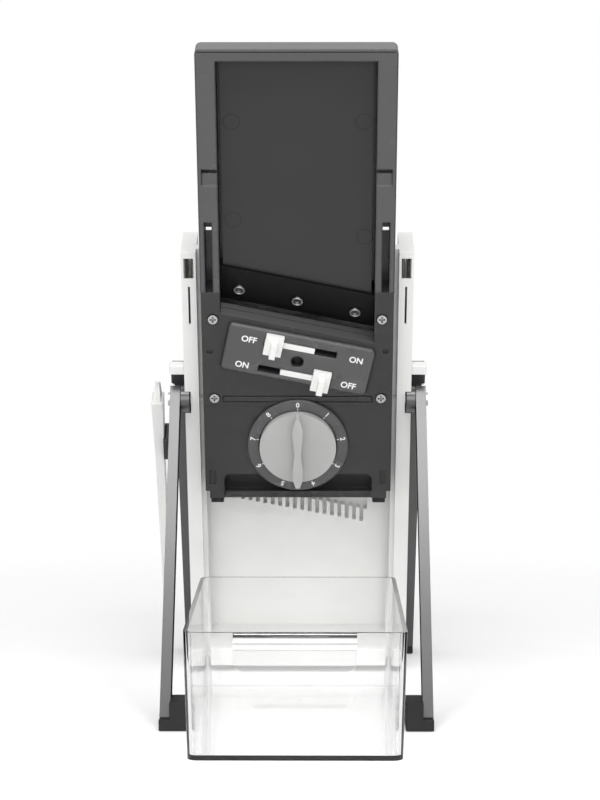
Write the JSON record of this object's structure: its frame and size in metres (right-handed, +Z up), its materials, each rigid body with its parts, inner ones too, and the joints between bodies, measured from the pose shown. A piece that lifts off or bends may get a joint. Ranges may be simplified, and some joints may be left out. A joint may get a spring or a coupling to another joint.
{
  "type": "mandoline slicer",
  "caption": "Upright push-down mandoline slicer: leaning frame on folding legs, sprung blade carriage with thickness dial and julienne sliders, rear food chute, clear catch tray.",
  "frame": {"origin": "middle of the rear rubber sole, on the table", "axes": "+Z up, +X to the user's right, +Y away from the user"},
  "size_m": [0.1711, 0.331, 0.3899],
  "materials": {
    "frame_white": "smooth moulded",
    "steel": "ground",
    "carriage_grey": "fine satin texture",
    "control_white": "smooth moulded",
    "knob_grey": "satin moulded",
    "leg_metal": "satin dark grey",
    "black_rubber": "matt",
    "clear_plastic": "clear moulded plastic",
    "bristle_white": "bundled nylon"
  },
  "bodies": {
    "frame": {"left_rail": "frame_white", "right_rail": "frame_white", "left_rail_cap": "frame_white", "right_rail_cap": "frame_white", "frame_wall": "frame_white", "base_bar": "frame_white", "left_guide_rod": "steel", "right_guide_rod": "steel", "left_return_spring": "steel", "right_return_spring": "steel", "left_leg_stop": "frame_white", "right_leg_stop": "frame_white", "front_pivot_pins": "steel", "rear_pivot_pins": "steel", "food_chute": "frame_white", "chute_screws": "steel"},
    "carriage": {"hood": "carriage_grey", "hood_back": "carriage_grey", "upper_plate": "carriage_grey", "slicing_blade": "steel", "blade_clamp": "carriage_grey", "blade_bed": "carriage_grey", "blade_screws": "steel", "guard_plate": "carriage_grey", "chassis": "carriage_grey", "slider_cover": "carriage_grey", "cover_screws": "steel", "slider_plate": "carriage_grey", "dial_panel": "carriage_grey", "dial_ring": "carriage_grey", "left_bumper": "black_rubber", "right_bumper": "black_rubber", "left_guide_shoe": "carriage_grey", "right_guide_shoe": "carriage_grey"},
    "dial": {"dial_knob": "knob_grey", "dial_spindle": "steel"},
    "thickness": {"thickness_plate": "carriage_grey"},
    "upper_slider": {"upper_slider": "control_white"},
    "lower_slider": {"lower_slider": "control_white"},
    "upper_comb": {"upper_julienne_bar": "carriage_grey", "upper_julienne_blades": "steel"},
    "lower_comb": {"lower_julienne_bar": "carriage_grey", "lower_julienne_blades": "steel"},
    "left_front_leg": {"left_front_leg": "leg_metal", "left_front_hub": "leg_metal", "left_front_foot": "black_rubber"},
    "right_front_leg": {"right_front_leg": "leg_metal", "right_front_hub": "leg_metal", "right_front_foot": "black_rubber"},
    "rear_legs": {"rear_leg_frame": "leg_metal", "rear_sole": "black_rubber", "brush_clip": "carriage_grey"},
    "tray": {"catch_tray": "clear_plastic"},
    "brush": {"brush_handle": "frame_white", "brush_bristles": "bristle_white"},
    "pusher": {"pusher_plate": "carriage_grey", "pusher_cap": "carriage_grey"}
  },
  "joints": [
    {"name": "carriage_slide", "type": "slide", "parent": "frame", "child": "carriage", "axis": [0, -0.3811, 0.9245], "range_m": [-0.109, 0], "stiffness_N_per_m": 150, "springref_m": 0.06, "deforming": ["left_return_spring", "right_return_spring"]},
    {"name": "dial_turn", "type": "hinge", "parent": "carriage", "child": "dial", "pos_m": [0, -0.13475, 0.15332], "axis": [0, 0.9245, 0.3811], "range_deg": [0, 320]},
    {"name": "thickness_slide", "type": "slide", "parent": "carriage", "child": "thickness", "axis": [0, -0.9245, -0.3811], "range_m": [0, 0.008]},
    {"name": "upper_slider_slide", "type": "slide", "parent": "carriage", "child": "upper_slider", "axis": [0.9781, 0.0792, -0.1922], "range_m": [0, 0.013]},
    {"name": "lower_slider_slide", "type": "slide", "parent": "carriage", "child": "lower_slider", "axis": [-0.9781, -0.0792, 0.1922], "range_m": [0, 0.013]},
    {"name": "upper_comb_lift", "type": "slide", "parent": "thickness", "child": "upper_comb", "axis": [0, 0.9245, 0.3811], "range_m": [0, 0.0054]},
    {"name": "lower_comb_lift", "type": "slide", "parent": "thickness", "child": "lower_comb", "axis": [0, 0.9245, 0.3811], "range_m": [0, 0.0054]},
    {"name": "left_front_leg_fold", "type": "hinge", "parent": "frame", "child": "left_front_leg", "pos_m": [-0.0722, -0.12546, 0.18062], "axis": [1, 0, 0], "range_deg": [0, 52.4]},
    {"name": "right_front_leg_fold", "type": "hinge", "parent": "frame", "child": "right_front_leg", "pos_m": [0.0722, -0.12546, 0.18062], "axis": [1, 0, 0], "range_deg": [0, 52.4]},
    {"name": "rear_leg_fold", "type": "hinge", "parent": "frame", "child": "rear_legs", "pos_m": [0, -0.10835, 0.18767], "axis": [1, 0, 0], "range_deg": [-7.6, 0]},
    {"name": "tray_slide", "type": "slide", "parent": "frame", "child": "tray", "axis": [0, -1, 0], "range_m": [0, 0.2]},
    {"name": "brush_slide", "type": "slide", "parent": "rear_legs", "child": "brush", "axis": [0, -0.5, 0.866], "range_m": [0, 0.14]},
    {"name": "pusher_slide", "type": "slide", "parent": "frame", "child": "pusher", "axis": [0, 0.6101, 0.7923], "range_m": [0, 0.11]}
  ],
  "couplings": [
    {"joint": "dial_turn", "follows": "thickness_slide", "rad_per_m": 698.13},
    {"joint": "upper_comb_lift", "follows": "upper_slider_slide", "ratio": 0.41538},
    {"joint": "lower_comb_lift", "follows": "lower_slider_slide", "ratio": 0.41538}
  ]
}
